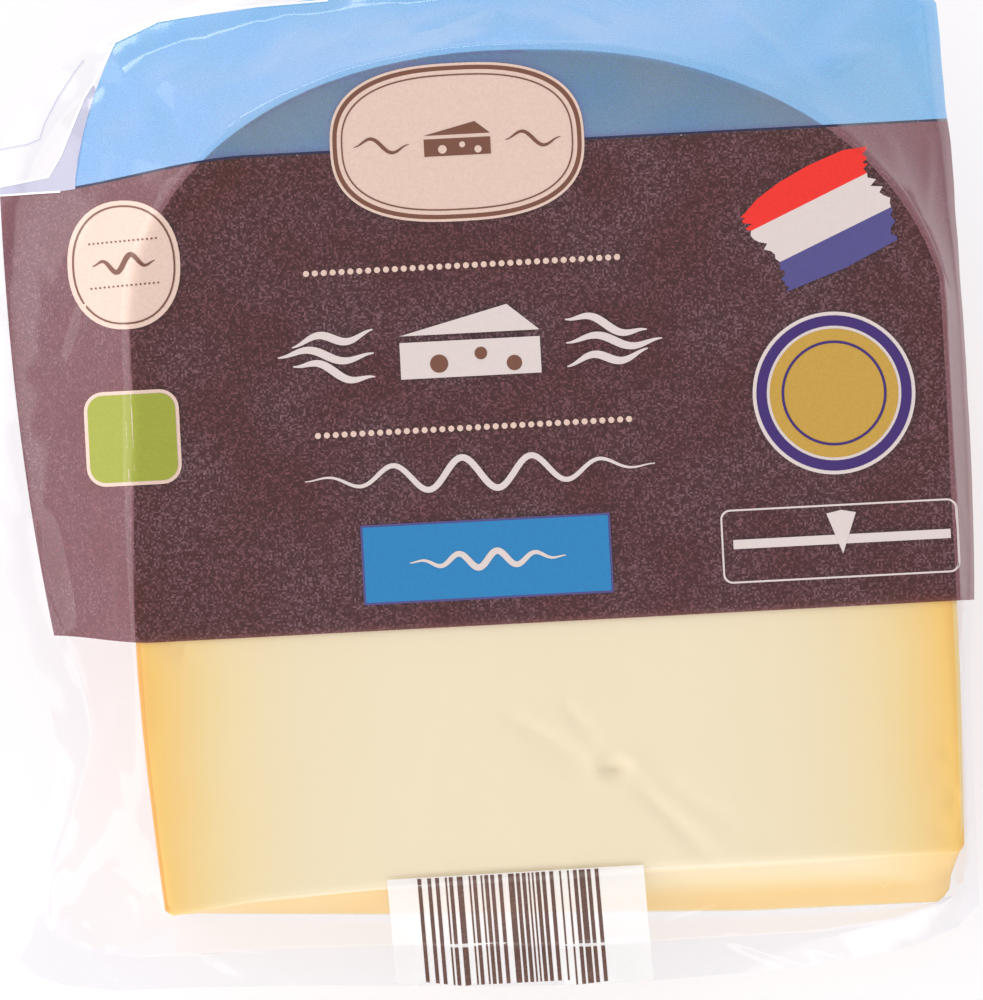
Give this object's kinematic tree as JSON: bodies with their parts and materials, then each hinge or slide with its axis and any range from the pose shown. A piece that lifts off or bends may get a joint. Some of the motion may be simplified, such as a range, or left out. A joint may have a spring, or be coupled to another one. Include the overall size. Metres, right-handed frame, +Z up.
{
  "type": "packed cheese wedge",
  "caption": "Wedge of semi-hard cheese with a rounded rind rim, sealed in a clear printed film pack with a seal fin, lying on its back cut face.",
  "frame": {"origin": "on the table under the middle of the pack's box", "axes": "+X from the left rind to the right, +Y from the cut tip to the rounded rim, +Z up out of the shown cut face"},
  "size_m": [0.1378, 0.1424, 0.0503],
  "materials": {
    "cheese": "pale semi-hard cheese, cut smooth, deeper yellow towards the rind",
    "film": "clear glossy packing film, wrinkled where it gathers",
    "print": "see-through brown and blue ink under glossy film, with flat pale shapes"
  },
  "bodies": {
    "root": {"cheese_pack": "cheese"}
  },
  "joints": []
}
